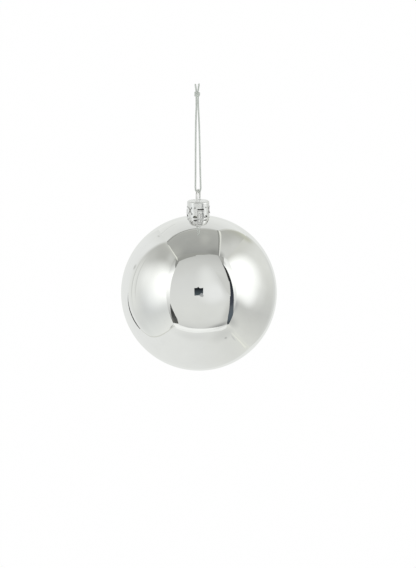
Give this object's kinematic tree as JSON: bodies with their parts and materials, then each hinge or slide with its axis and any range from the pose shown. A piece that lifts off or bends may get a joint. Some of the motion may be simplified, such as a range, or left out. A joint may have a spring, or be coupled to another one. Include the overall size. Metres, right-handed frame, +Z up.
{
  "type": "glass ball ornament",
  "caption": "Hollow silvered glass ball ornament with a stamped metal cap, a sprung wire hanger and a knotted hanging thread.",
  "frame": {"origin": "middle of the thread's knot, where the ornament hangs", "axes": "+Z up along the thread and the ball's neck, +X to the right seen from the front, +Y to the back"},
  "size_m": [0.08, 0.08, 0.1473],
  "materials": {
    "silvered_glass": "clear blown glass over a silver mirror, slightly wavy",
    "silver": "bright silver",
    "bright_cap": "bright plated sheet metal",
    "bright_wire": "bright drawn wire",
    "thread": "twisted silver-grey thread with a soft sheen"
  },
  "bodies": {
    "knot": {"thread_knot": "thread"},
    "thread": {"hanging_thread": "thread"},
    "hanger": {"wire_hanger": "bright_wire"},
    "cap": {"cap": "bright_cap"},
    "ball": {"glass_ball": "silvered_glass", "silver_lining": "silver"}
  },
  "joints": [
    {"name": "thread_twist", "type": "hinge", "parent": "knot", "child": "thread", "pos_m": [0, 0, 0], "axis": [0, 0, 1], "continuous": true},
    {"name": "loop_swing", "type": "hinge", "parent": "thread", "child": "hanger", "pos_m": [0, 0, -0.0483], "axis": [0.225, 0.9744, 0], "range_deg": [-90, 90]},
    {"name": "hanger_pull", "type": "slide", "parent": "hanger", "child": "cap", "axis": [0, 0, -1], "range_m": [0, 0.027], "deforming": ["wire_hanger"]},
    {"name": "cap_pull", "type": "slide", "parent": "cap", "child": "ball", "axis": [0, 0, -1], "range_m": [0, 0.027], "deforming": ["wire_hanger"]}
  ]
}
